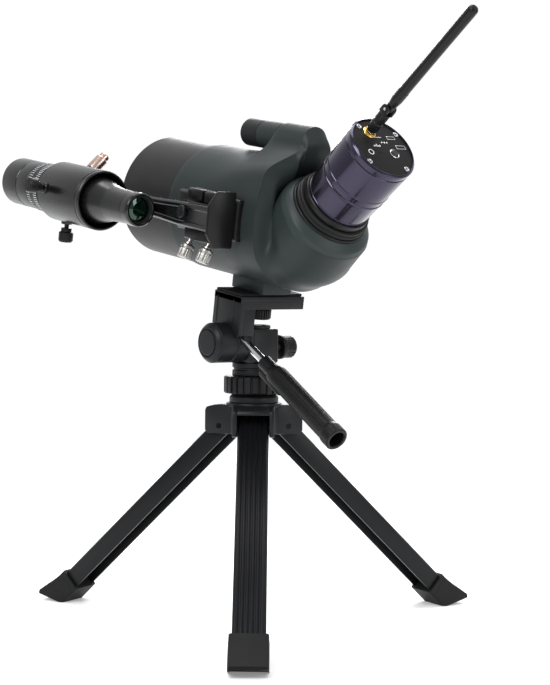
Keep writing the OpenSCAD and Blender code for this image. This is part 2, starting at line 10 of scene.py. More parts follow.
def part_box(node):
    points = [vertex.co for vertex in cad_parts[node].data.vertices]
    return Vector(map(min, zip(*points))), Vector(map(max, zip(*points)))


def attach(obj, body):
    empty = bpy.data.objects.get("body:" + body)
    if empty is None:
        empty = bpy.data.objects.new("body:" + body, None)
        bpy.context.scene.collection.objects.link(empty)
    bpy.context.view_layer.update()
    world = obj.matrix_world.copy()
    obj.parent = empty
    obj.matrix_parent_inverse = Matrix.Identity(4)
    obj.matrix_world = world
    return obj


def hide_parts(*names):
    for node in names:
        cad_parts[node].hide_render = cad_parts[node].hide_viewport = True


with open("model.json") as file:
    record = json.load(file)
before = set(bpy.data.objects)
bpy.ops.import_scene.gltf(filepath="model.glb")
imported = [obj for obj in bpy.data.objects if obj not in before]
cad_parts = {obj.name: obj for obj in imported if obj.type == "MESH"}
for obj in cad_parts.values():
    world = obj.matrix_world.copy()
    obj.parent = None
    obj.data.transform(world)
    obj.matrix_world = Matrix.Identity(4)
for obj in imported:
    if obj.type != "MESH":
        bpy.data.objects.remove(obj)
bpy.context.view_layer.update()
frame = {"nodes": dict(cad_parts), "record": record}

MM = 0.001
sin, cos, pi = math.sin, math.cos, math.pi


# ---------------------------------------------------------------- frames, in mm
def T(x, y, z):
    return Matrix.Translation((x, y, z))


def R(axis, degrees):
    return Matrix.Rotation(math.radians(degrees), 4, axis)


disc_lo, disc_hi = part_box("column_disc")
SX, SY = [(disc_lo[k] + disc_hi[k]) / 2 / MM for k in (0, 1)]
LEG_REACH, LEG_SPREAD, PIVOT_R = 246, 47, 24
PIVOT_Z = LEG_REACH * cos(math.radians(LEG_SPREAD))
TILT_Z = PIVOT_Z + 71
CROWN_TOP = PIVOT_Z + 20
STAND = T(SX, SY, 0)
TILT = STAND @ T(0, 0, TILT_Z) @ R("X", 8.6)
OPTIC, PORT_Y = 106, -62.7
FINDER_X, FINDER_Z = -100, 104
OPT = TILT @ T(0, 0, OPTIC) @ R("X", -90)
EYE = TILT @ T(0, PORT_Y, OPTIC) @ R("X", 45)
FIND = TILT @ T(FINDER_X, 0, FINDER_Z) @ R("X", -90)
HANDLE = TILT @ T(-25.3, -12, 7.9) @ R("X", 112.4)
LEG_TURN = 231.9
ADJUST_Y = 151.8
BASE_LOW, BASE_TOP, SHELL_TOP, SHELL_R = 33.3, 39, 104, 29.5
SMA = (-6.6, 14.7)
FOCUS_H = OPTIC + 67.8


def leg_frame(i):
    return STAND @ R("Z", LEG_TURN + 120 * i) @ T(PIVOT_R, 0, PIVOT_Z) @ R("Y", 90 - LEG_SPREAD)


def ring_frame(angle):
    return TILT @ T(FINDER_X, ADJUST_Y, FINDER_Z) @ R("Y", 90 - angle)


def shoe_frame(y):
    return TILT @ T(-67, y, OPTIC - 13.25) @ R("Y", 200)


def upright(side=1):
    """Stands an outline of (x, z) up, pushed along y."""
    return Matrix(((1, 0, 0, 0), (0, 0, side, 0), (0, 1, 0, 0), (0, 0, 0, 1)))


def endwise(side=1):
    """Stands an outline of (y, z) up, pushed along x."""
    return Matrix(((0, 0, side, 0), (1, 0, 0, 0), (0, 1, 0, 0), (0, 0, 0, 1)))


# ---------------------------------------------------------------- materials
def grain_group():
    """Fine bump and uneven shine, shared by painted, moulded and rubber finishes."""
    g = bpy.data.node_groups.new("grain", "ShaderNodeTree")
    for name, kind, io in (("Scale", "Float", "INPUT"), ("Bump", "Float", "INPUT"),
                           ("Rough", "Float", "INPUT"), ("Spread", "Float", "INPUT"),
                           ("Rough", "Float", "OUTPUT"), ("Normal", "Vector", "OUTPUT")):
        g.interface.new_socket(name=name, in_out=io, socket_type="NodeSocket" + kind)
    n = g.nodes
    a, z = n.new("NodeGroupInput"), n.new("NodeGroupOutput")
    co = n.new("ShaderNodeTexCoord")
    fine, wide = n.new("ShaderNodeTexNoise"), n.new("ShaderNodeTexNoise")
    wide.inputs["Scale"].default_value = 38
    wide.inputs["Detail"].default_value = 4
    fine.inputs["Detail"].default_value = 2
    bump = n.new("ShaderNodeBump")
    bump.inputs["Distance"].default_value = 0.0003
    mul, total = n.new("ShaderNodeMath"), n.new("ShaderNodeMath")
    mid = n.new("ShaderNodeMath")
    mid.operation, mul.operation = "SUBTRACT", "MULTIPLY"
    mid.inputs[1].default_value = 0.5
    link = g.links.new
    link(co.outputs["Object"], fine.inputs["Vector"])
    link(co.outputs["Object"], wide.inputs["Vector"])
    link(a.outputs["Scale"], fine.inputs["Scale"])
    link(fine.outputs[0], bump.inputs["Height"])
    link(a.outputs["Bump"], bump.inputs["Strength"])
    link(wide.outputs[0], mid.inputs[0])
    link(mid.outputs[0], mul.inputs[0])
    link(a.outputs["Spread"], mul.inputs[1])
    link(mul.outputs[0], total.inputs[0])
    link(a.outputs["Rough"], total.inputs[1])
    link(total.outputs[0], z.inputs["Rough"])
    link(bump.outputs["Normal"], z.inputs["Normal"])
    return g


GRAIN = grain_group()


def material(name, color, rough, metal=0.0, bump=0.1, scale=1600, spread=0.12, coat=0.0, shine=0.2):
    m = bpy.data.materials.new(name)
    m.use_nodes = True
    n, link = m.node_tree.nodes, m.node_tree.links.new
    s = n["Principled BSDF"]
    s.inputs["Base Color"].default_value = (*color, 1)
    s.inputs["Roughness"].default_value = rough
    s.inputs["Metallic"].default_value = metal
    s.inputs["Specular IOR Level"].default_value = shine
    s.inputs["Coat Weight"].default_value = coat
    s.inputs["Coat Roughness"].default_value = 0.08
    if bump:
        g = n.new("ShaderNodeGroup")
        g.node_tree = GRAIN
        for key, value in (("Scale", scale), ("Bump", bump), ("Rough", rough), ("Spread", spread)):
            g.inputs[key].default_value = value
        link(g.outputs["Rough"], s.inputs["Roughness"])
        link(g.outputs["Normal"], s.inputs["Normal"])
    return m


def glass(name, tint, rough=0.02, coat=(0.2, 0.9, 0.6)):
    m = material(name, tint, rough, bump=0)
    s = m.node_tree.nodes["Principled BSDF"]
    s.inputs["Coat Weight"].default_value = 1
    s.inputs["Specular IOR Level"].default_value = 0.5
    s.inputs["Coat Roughness"].default_value = 0.02
    s.inputs["Coat Tint"].default_value = (*coat, 1)
    s.inputs["Specular Tint"].default_value = (*coat, 1)
    return m


M = dict(
    moulded=material("moulded_black", (0.0077, 0.0081, 0.009), 0.42, bump=0.12, scale=900),
    leg=material("leg_alloy", (0.0067, 0.0072, 0.0081), 0.36, metal=0.25, bump=0.05),
    foot=material("foot_rubber", (0.0072, 0.0072, 0.0077), 0.62, bump=0.15, scale=700),
    knob=material("knob_black", (0.0063, 0.0063, 0.0072), 0.40, bump=0.08),
    steel=material("steel", (0.62, 0.62, 0.63), 0.26, metal=1, bump=0.04),
    chrome=material("chrome_rod", (0.8, 0.8, 0.81), 0.10, metal=1, bump=0),
    grip=material("grip_rubber", (0.0045, 0.0045, 0.005), 0.38, bump=0.1),
    pad=material("pad_rubber", (0.0081, 0.0081, 0.0081), 0.8, bump=0.5, scale=500),
    inside=material("tube_black", (0.0045, 0.0045, 0.0045), 0.72, bump=0.1),
    armour=material("armour_green", (0.0165, 0.0225, 0.022), 0.52, bump=0.22, scale=1300),
    housing=material("housing_green", (0.0165, 0.0225, 0.022), 0.46, bump=0.12, scale=1300),
    # hollow_dark is a darker copy of the armour green: painted shade for the shadowed hollow at the
    # rear by the neck
    painted_shade=material("hollow_dark", (0.0072, 0.009, 0.009), 0.60, bump=0.2),
    # crest_edge is a lighter copy of the armour green: a painted highlight, used on the housing
    # collar's bevelled ring
    edge=material("crest_edge", (0.023, 0.031, 0.0305), 0.42, bump=0.1),
    hood=material("hood_black", (0.012, 0.012, 0.0125), 0.44, bump=0.10, scale=1500),
    coated=glass("coated_glass", (0.015, 0.03, 0.03)),
    mirror=material("mirror_coat", (0.85, 0.86, 0.87), 0.03, metal=1, bump=0),
    clear=glass("clear_glass", (0.4, 0.45, 0.45), coat=(1, 1, 1)),
    focus=material("focus_rubber", (0.0099, 0.0117, 0.0117), 0.5, bump=0.12),
    collar=material("collar_black", (0.0054, 0.0054, 0.0059), 0.36, bump=0.08),
    soft=material("collar_rubber", (0.0072, 0.0072, 0.0077), 0.5, bump=0.15),
    shoe=material("shoe_black", (0.0045, 0.0045, 0.005), 0.3, bump=0.08),
    thumb=material("thumb_silver", (0.36, 0.35, 0.33), 0.34, metal=1, bump=0.04),
    gloss=material("gloss_black", (0.0027, 0.0027, 0.0032), 0.16, bump=0.02, shine=0.5),
    copper=material("plunger_copper", (0.62, 0.47, 0.41), 0.26, metal=1, bump=0.04),
    finder=material("finder_black", (0.0036, 0.0036, 0.004), 0.27, bump=0.03, shine=0.5),
    scale=material("scale_black", (0.009, 0.009, 0.0099), 0.34, metal=0.2, bump=0.05),
    tick=material("tick_silver", (0.55, 0.55, 0.56), 0.4, bump=0),
    green=glass("green_glass", (0.0005, 0.0045, 0.0036), coat=(0.10, 0.7, 0.5)),
    shell=material("shell_violet", (0.048, 0.043, 0.066), 0.16, metal=0.9, bump=0.015, spread=0.04),
    end=material("end_black", (0.0054, 0.0054, 0.0059), 0.5, bump=0.1),
    board=material("board_green", (0.01, 0.09, 0.03), 0.35, bump=0.05),
    chip=material("chip_black", (0.009, 0.009, 0.009), 0.4, bump=0),
    button=material("button_black", (0.03, 0.03, 0.033), 0.3, bump=0),
    brass=material("brass", (0.83, 0.58, 0.22), 0.22, metal=1, bump=0.02),
    aerial=material("aerial_black", (0.0063, 0.0063, 0.0067), 0.34, bump=0.05),
    mark=material("mark_white", (0.75, 0.75, 0.75), 0.5, bump=0),
)


# ---------------------------------------------------------------- builders
def rounded(points, radius=0.6, steps=3, closed=False):
    """A polyline of (a, b) points with each corner turned into a small arc."""
    pts = [Vector(p) for p in points]
    out = []
    last = len(pts)
    for k, p in enumerate(pts):
        if not closed and k in (0, last - 1):
            out.append(p)
            continue
        a, b = pts[k - 1] - p, pts[(k + 1) % last] - p
        if a.length < 1e-6 or b.length < 1e-6:
            continue
        angle = a.angle(b)
        if angle > 3.05:
            out.append(p)
            continue
        cut = min(radius / math.tan(angle / 2), a.length * 0.48, b.length * 0.48)
        start, end = p + a.normalized() * cut, p + b.normalized() * cut
        for s in range(steps + 1):
            t = s / steps
            out.append(start * (1 - t) ** 2 + p * 2 * t * (1 - t) + end * t ** 2)
    return out


def add(name, verts, faces, place, mat, body, nodes=(), smooth=True, sharp=35):
    mesh = bpy.data.meshes.new(name)
    mesh.from_pydata([(place @ Vector(v)) * MM for v in verts], [], faces)
    mesh.materials.append(M[mat])
    bm = bmesh.new()
    bm.from_mesh(mesh)
    bmesh.ops.remove_doubles(bm, verts=bm.verts, dist=1e-7)
    bmesh.ops.recalc_face_normals(bm, faces=bm.faces)
    limit = math.radians(sharp)
    for e in bm.edges:
        if len(e.link_faces) == 2:
            e.smooth = e.calc_face_angle(0) < limit
    for f in bm.faces:
        f.smooth = smooth
    bm.to_mesh(mesh)
    bm.free()
    ob = bpy.data.objects.new(name, mesh)
    bpy.context.scene.collection.objects.link(ob)
    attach(ob, body)
    if nodes:
        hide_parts(*nodes)
    return ob


def skin(name, rings, place, mat, body, nodes=(), ends=True, wrap=True, sharp=35):
    """A surface through rings of equal length; ends=True closes it."""
    count = len(rings[0])
    verts = [v for ring in rings for v in ring]
    faces = []
    span = count if wrap else count - 1
    for r in range(len(rings) - 1):
        for k in range(span):
            j = (k + 1) % count
            faces.append((r * count + k, r * count + j, (r + 1) * count + j, (r + 1) * count + k))
    if ends:
        faces.append(tuple(range(count)))
        faces.append(tuple(range((len(rings) - 1) * count, len(rings) * count)))
    return add(name, verts, faces, place, mat, body, nodes, sharp=sharp)


ON_AXIS = 0.0005


def lathe(name, points, place, mat, body, nodes=(), seg=96, soft=0.5, wave=None, loop=False,
          sharp=35):
    """Points are (radius, height); wave(angle, height, radius) gives a ribbed piece's radius."""
    prof = rounded(points, soft, closed=loop)
    rings = []
    for r, z in prof:
        r = max(r, ON_AXIS)
        ring = []
        for k in range(seg):
            angle = 2 * pi * k / seg
            reach = wave(angle, z, r) if wave else r
            ring.append((reach * cos(angle), reach * sin(angle), z))
        rings.append(ring)
    if loop:
        rings.append(rings[0])
    closed = prof[0][0] < 0.01 and prof[-1][0] < 0.01
    return skin(name, rings, place, mat, body, nodes, ends=not (closed or loop), sharp=sharp)


def ribs(count, depth, low, high, duty=0.5, r_min=0.0):
    """Grooves round a turned piece between two heights."""
    def wave(angle, z, r):
        if z <= low or z >= high or r < r_min:
            return r
        phase = (angle * count / (2 * pi)) % 1
        return r - depth if phase > duty else r
    return wave


def prism(name, outline, low, high, place, mat, body, nodes=(), bevel=0.5, corner=0.0, sharp=40):
    """An outline of (x, y) points pushed from low to high along z, with its edges eased."""
    pts = rounded(outline, corner, closed=True) if corner else [Vector(p) for p in outline]
    n = len(pts)
    mesh_verts = [(p[0], p[1], z) for z in (low, high) for p in pts]
    faces = [tuple(range(n)), tuple(range(n, 2 * n))]
    faces += [(k, (k + 1) % n, n + (k + 1) % n, n + k) for k in range(n)]
    ob = add(name, mesh_verts, faces, place, mat, body, nodes)
    ease(ob, bevel, sharp)
    return ob


def ease(ob, width, sharp=40, segments=2):
    """Bevels the sharp edges of a piece."""
    if not width:
        return
    bm = bmesh.new()
    bm.from_mesh(ob.data)
    limit = math.radians(sharp)
    edges = [e for e in bm.edges if len(e.link_faces) == 2 and e.calc_face_angle(0) > limit]
    bmesh.ops.bevel(bm, geom=edges, offset=width * MM, offset_type="OFFSET", affect="EDGES",
                    segments=segments, profile=0.5, material=-1, clamp_overlap=True)
    bmesh.ops.recalc_face_normals(bm, faces=bm.faces)
    for f in bm.faces:
        f.smooth = True
    for e in bm.edges:
        e.smooth = len(e.link_faces) == 2 and e.calc_face_angle(0) < math.radians(32)
    bm.to_mesh(ob.data)
    bm.free()


def box(name, low, high, place, mat, body, nodes=(), bevel=0.5):
    outline = [(low[0], low[1]), (high[0], low[1]), (high[0], high[1]), (low[0], high[1])]
    return prism(name, outline, low[2], high[2], place, mat, body, nodes, bevel)


def rod(name, r, low, high, place, mat, body, nodes=(), soft=0.3, seg=48):
    return lathe(name, [(0, low), (r, low), (r, high), (0, high)], place, mat, body, nodes, seg,
                 soft)


def smoothstep(t):
    t = min(1, max(0, t))
    return t * t * (3 - 2 * t)


def spline(a, b, c, d, t):
    """A point between b and c on the smooth curve that also passes a and d."""
    near = 2 * b + (c - a) * t
    return 0.5 * (near + (2 * a - 5 * b + 4 * c - d) * t * t + (3 * b - a - 3 * c + d) * t ** 3)


def curve_through(points, count):
    """Points spaced along a smooth curve through the given ones."""
    pts = [Vector(p) for p in points]
    pts = [2 * pts[0] - pts[1]] + pts + [2 * pts[-1] - pts[-2]]
    out = []
    spans = len(pts) - 3
    for k in range(count):
        u = k / (count - 1) * spans
        i = min(int(u), spans - 1)
        t = u - i
        a, b, c, d = pts[i:i + 4]
        out.append(spline(a, b, c, d, t))
    return out


# ---------------------------------------------------------------- tripod
def leg_outline():
    """A channel with raised ribs on its outer face, as (y, z)."""
    half, top, low, wall = 13, 7.5, -8.8, 2.2
    pts = [(-half, low), (-half, top - 1.6), (-half + 1.6, top)]
    for k in range(5):
        mid = (k - 2) * 3.9
        pts += [(mid - 1.05, top), (mid - 0.75, top - 0.75), (mid + 0.75, top - 0.75),
                (mid + 1.05, top)]
    pts += [(half - 1.6, top), (half, top - 1.6), (half, low), (half - wall, low),
            (half - wall, top - wall - 1), (half - wall - 1, top - wall),
            (-half + wall + 1, top - wall), (-half + wall, top - wall - 1), (-half + wall, low)]
    return pts


def build_legs():
    for i, side in enumerate(("front", "right", "left")):
        body, place = "leg_" + side, leg_frame(i)
        prism(body + "_channel", leg_outline(), -8, 232, place @ endwise(), "leg", body, (body,),
              bevel=0.3, sharp=30)
        for s in (-1, 1):
            rod(body + "_washer", 5.2, 13.0, 13.35, place @ R("X", 90 * s), "steel", body)
        build_foot(side, body, place)


TOE = 214.0


def build_foot(side, body, place):
    """A rubber wedge over the leg's end, its sole flat on the ground."""
    near, far, half, top, low = 214, 262, 15.3, 9.8, -11.1
    ground = STAND.inverted() @ place
    rings = []
    steps = 14
    for k in range(steps + 1):
        x = near + (far - near) * k / steps
        swell = 0.4 * sin(pi * min(1, k / steps * 1.1))
        crown = top + 4.2 * smoothstep((k / steps - 0.1) / 0.7)
        section = rounded([(-half - swell, low), (-half - swell, crown), (half + swell, crown),
                           (half + swell, low)], 2.8, 4, closed=True)
        rings.append([(x, p[0], p[1]) for p in section])
    cut = []
    for ring in rings:
        row = []
        for p in ring:
            q = ground @ Vector(p)
            up = ground.to_3x3() @ Vector((-1, 0, 0))
            outward = Vector((-up.x, -up.y, 0)).normalized()
            reach = (q - ground @ Vector((0, 0, 0))).dot(outward) - (TOE - PIVOT_R)
            slide = max(0, -q.z / up.z, reach / -up.dot(outward))
            row.append(q + up * slide)
        cut.append(row)
    ob = skin("foot_" + side + "_boot", cut, STAND, "foot", body, ("foot_" + side,), sharp=50)
    ease(ob, 1.6, 45)
    for k in range(4):
        box("foot_" + side + "_rib", (near + 5 + 5 * k, -half - 0.35, low + 3),
            (near + 6.4 + 5 * k, half + 0.35, top - 3.5), place, "foot", body, bevel=0.3)


def build_crown():
    body = "stand"
    half_in, half_out = 13.4, 17.6
    low, top = PIVOT_Z - 7, CROWN_TOP
    hub = [(23.4 * cos(2 * pi * k / 72), 23.4 * sin(2 * pi * k / 72)) for k in range(72)]
    prism("crown_lid", hub, PIVOT_Z + 16, top, STAND, "moulded", body, ("tripod_crown",), bevel=1.2)
    lathe("crown_bore", [(8, low + 1), (12, low + 1), (12, top - 2), (8, top - 2)], STAND,
          "moulded", body, loop=True)
    for i in range(3):
        spin = STAND @ R("Z", LEG_TURN + 120 * i)
        for s in (-1, 1):
            side = [(12.5, low + 0.5), (33.5, low), (36.5, low + 0.8), (38, low + 3), (38, top - 7),
                    (36.6, top - 4.4), (29, top - 2.4), (23, top - 1.6), (12.5, top - 1.6)]
            prism("crown_ear", side, half_in, half_out, spin @ upright(s), "moulded",
                  body, bevel=0.9)
        arch = [(23, PIVOT_Z + 11.4), (38, PIVOT_Z + 11.4), (38, top - 7), (36.6, top - 4.4),
                (29, top - 2.4), (23, top - 1.6)]
        prism("crown_arch", arch, -half_in - 0.3, half_in + 0.3, spin @ upright(),
              "moulded", body, bevel=1.2)
        web = STAND @ R("Z", LEG_TURN + 60 + 120 * i)
        web_out = [(12, -9.5)] + [(21.2 + 2.2 * (t / 8) ** 2, t)
                                  for t in range(-8, 9, 2)] + [(12, 9.5)]
        prism("crown_web", web_out, low + 0.6, top - 1.6, web, "moulded", body, bevel=0.6)
        prism("crown_back", [(11, -13.4), (12.6, -13.4), (12.6, 13.4), (11, 13.4)], low + 1,
              PIVOT_Z + 16, spin, "moulded", body, bevel=0.2)
    lathe("column_cone", [(7.2, top), (20.7, top), (20.7, top + 4.5), (18.2, top + 7.3),
                          (13.9, top + 7.5), (13.9, top + 22.4), (7.2, top + 22.4)], STAND,
          "moulded", body, ("column_disc",), loop=True, soft=0.7)


def build_head():
    lock_low, lock_high = CROWN_TOP + 7.9, CROWN_TOP + 22.3
    lathe("lock_ring", [(14, lock_low), (24.6, lock_low), (25.5, lock_low + 1.2),
                        (25.5, lock_high - 1.2), (24.6, lock_high), (14, lock_high)], STAND, "knob",
          "lock_ring", ("pan_lock_ring",), seg=300, soft=0.5, loop=True,
          wave=ribs(25, 1.5, lock_low + 1.0, lock_high - 1.0, 0.72, 23), sharp=28)
    neck = CROWN_TOP + 22.9
    lathe("neck", [(0, neck), (18.5, neck), (18.5, neck + 4.2), (17.3, neck + 4.9),
                   (17.3, neck + 6.2), (18.5, neck + 6.9), (18.5, neck + 10.6), (0, neck + 10.6)],
          STAND, "moulded", "pan_head", ("pan_neck",), soft=0.4)
    prism("block", [(-15.5, -14), (15.5, -14), (15.5, 14), (-15.5, 14)], neck + 10.6, TILT_Z + 11.5,
          STAND, "moulded", "pan_head", ("head_block", "tilt_axle"), bevel=1.6, corner=2.6)
    for s in (-1, 1):
        box("block_panel", (-11, 14 * s - 0.25, neck + 14), (11, 14 * s + 0.25, TILT_Z + 8), STAND,
            "moulded", "pan_head", bevel=0.2)
    lathe("dial", [(0, TILT_Z + 11.5), (13.5, TILT_Z + 11.5), (13.5, TILT_Z + 13.6),
                   (12.7, TILT_Z + 14.5), (11.2, TILT_Z + 14.5), (10.7, TILT_Z + 13.9),
                   (0, TILT_Z + 13.9)], STAND, "knob", "pan_head", ("head_cap",))
    knob = STAND @ T(15.9, 0, TILT_Z - 5) @ R("Y", 90)
    lathe("lock_knob", [(0, 0), (5, 0), (5, 8.4), (9.8, 9), (10.4, 9.7), (10.4, 12.2), (9.5, 13.4),
                        (9.5, 22.4), (8, 24), (0, 24)], knob, "knob", "lock_knob",
          ("side_lock_knob",), seg=144, wave=ribs(18, 0.9, 13.6, 23.2, 0.6, 8.5), sharp=28)


def build_tilt():
    body = "scope"
    out = TILT @ T(-16.3, 0, 0) @ R("Y", -90)
    lathe("barrel", [(5.2, 0), (16.2, 0), (16.8, 0.8), (16.8, 12.2), (15.9, 12.9), (15.9, 14.1),
                     (16.8, 14.8), (16.8, 28.8), (16.2, 29.7), (5.2, 29.7)], out, "moulded", body,
          ("tilt_bracket",), loop=True, soft=0.4)
    lathe("barrel_cap", [(0, 29.7), (16.2, 29.7), (15.6, 30.6), (13.4, 32.7), (11.6, 32.9),
                         (11.5, 31.6), (10.8, 31.6), (10.7, 33.1), (9.6, 33.4), (0, 33.4)], out,
          "moulded", body, ("tilt_cap",), soft=0.4)
    side = TILT @ T(0, 18.5, 0) @ R("X", 90)
    # outer wall, webs front and rear, and the plate with a turned-down lip
    wall = [(-33, 41.6), (-33, 8.6), (-29, 8.6), (-29, 38)]
    prism("bracket_wall", wall, 0.2, 38.3, side, "moulded", body, bevel=0.8)
    web = [(-32.6, 8.8), (-17.0, 8.8), (-17.0, 31.5), (-32.6, 31.5)]
    for k, z in enumerate((0.4, 34.5)):
        prism("bracket_web", web, z, z + 3.6, side, "moulded", body, bevel=0.6)
    plate = [(-33, 42), (33, 42), (33, 31), (29.6, 31), (29.6, 37.8), (-29, 37.8), (-33, 36)]
    prism("bracket_plate", plate, 0, 38.5, side, "moulded", body, bevel=0.7)
    for z in (0.1, 35.4):
        prism("bracket_lip", [(-32.8, 41.8), (32.8, 41.8), (32.8, 31), (-32.8, 31)], z, z + 3, side,
              "moulded", body, bevel=0.5)
    for y in (13.2, -9.5):
        box("bracket_groove", (-33.2, y - 0.7, 12), (-32.8, y + 0.7, 38), TILT, "collar", body,
            bevel=0.15)
    prism("pad", [(-32, -18.2), (32, -18.2), (32, 18.2), (-32, 18.2)], 42, 44, TILT, "pad", body,
          ("plate_pads",), bevel=0.5, corner=2)
    lathe("screw_knob", [(0, 20.5), (10.6, 20.5), (11.7, 21.6), (11.7, 28.4), (10.8, 29.5),
                         (6, 29.5), (6, 31), (3.1, 31), (3.1, 50), (0, 50)], TILT, "knob",
          "plate_screw", ("camera_screw",), seg=240, wave=ribs(30, 0.9, 21.4, 28.8, 0.6, 10),
          sharp=28)
    # handle
    lathe("handle_socket", [(0, -8), (5.2, -8), (5.8, -7), (5.8, 2.6), (5.2, 3.6), (3.8, 3.6),
                            (3.8, 2), (0, 2)], HANDLE, "moulded", body)
    lathe("handle_shaft", [(0, -5.5), (3.5, -5.5), (3.5, 56), (0, 56)], HANDLE, "chrome", "handle",
          ("handle_rod",), soft=0.2, seg=64)

    lathe("handle_cover", [(3.6, 39), (6.0, 39), (6.4, 39.8), (6.4, 52), (7.8, 54.5), (8.6, 57.5),
                           (9, 60), (9, 66.4), (9, 100), (9, 135.4), (9.8, 138.6), (9.8, 147.2),
                           (9.0, 148), (7.2, 148), (6.6, 147), (6.6, 134.2), (0, 134)], HANDLE,
          "grip", "handle", ("handle_grip",), seg=312, soft=0.5,
          wave=ribs(26, 0.35, 62, 134, 0.6, 8), sharp=25)
    clip = [(6.0, 40), (9.4, 40.4), (11.2, 42.4), (11.2, 70), (10.2, 72.5), (8.4, 73), (8.4, 60),
            (6.0, 52)]
    prism("grip_clip", clip, -3.2, 3.2, HANDLE @ R("Z", -90) @ R("X", 90), "grip", "handle",
          bevel=0.6)


# ---------------------------------------------------------------- scope body
# Half outlines of the body from top to bottom, as (x, z), each of the same length
FIN = [(0, 186.6), (5.9, 185.2), (10.2, 181.6), (12.7, 176.0), (14.2, 170.5), (18.2, 165.6),
       (25, 161.6), (33, 157.6), (40.5, 153.2), (45.6, 147), (47.8, 137), (50.6, 120), (51.6, 105),
       (50.4, 90), (46.5, 77), (37, 65.5), (20, 56), (0, 52.3)]
PLAIN = [(0, 162.6), (4, 162.6), (8, 162.4), (12, 162.2), (16, 161.8), (21, 161.0), (27, 159.6),
         (34, 157.2), (40.5, 153.4)] + FIN[9:]
ROUND = [90, 85, 81, 77, 72, 67, 60, 52, 44, 36, 26, 13, 0, -15, -32, -50, -70, -90]
ROUND_R = 53.5


def mix(a, b, t):
    return Vector(a) * (1 - t) + Vector(b) * t


def whole(half, per=7):
    """A closed ring from one half's control points, mirrored."""
    line = []
    pts = [Vector(p) for p in half]
    flip = Vector((-1, 1, 1))
    ends = [pts[1] * flip] + pts + [pts[-2] * flip]
    for k in range(len(pts) - 1):
        a, b, c, d = ends[k:k + 4]
        for j in range(per):
            t = j / per
            line.append(spline(a, b, c, d, t))
    line.append(pts[-1])
    return line + [p * flip for p in reversed(line[1:-1])]


FIN_LEVEL, CREST_LEVEL, FIN_DROP = 155, 165, 162.6 - 159.5


def front_half(y, shrink=0.0):
    w, f = smoothstep((38 - y) / 92), smoothstep((3 - y) / 19)
    half = []
    for plain, fin, degrees in zip(PLAIN, FIN, ROUND):
        a = math.radians(degrees)
        circle = ((ROUND_R - shrink) * cos(a), OPTIC + (ROUND_R - shrink) * sin(a))
        # the fin keeps its full height wherever it stands
        base = mix(circle, plain, w)
        lift = (fin[1] - plain[1]) * f
        slide = (fin[0] - plain[0]) * f * (1 if fin[1] > FIN_LEVEL else 0)
        extra = (fin[1] > CREST_LEVEL) * f * (1 - w) * FIN_DROP
        half.append((base[0] + slide * (0.35 + 0.65 * w), y, base[1] + lift + extra))
    return half


NECK_R = 43.6


def neck_point(degrees, e, r):
    a = math.radians(degrees)
    r -= 4.2 * smoothstep((sin(a) + 0.75) / 0.9)
    x, n = r * cos(a), r * sin(a)
    return Vector((x, PORT_Y + (n - e) * cos(pi / 4), OPTIC + (n + e) * cos(pi / 4)))


def crest_half():
    back = [-52, -52, -52, -52.5, -53, -53, -52.5, -51.5, -50.5, -49.5, -49, -48.5, -48.5, -49.5,
            -51, -53, -55, -56]
    return [Vector((x, y, z)) for (x, z), y in zip(FIN, back)]


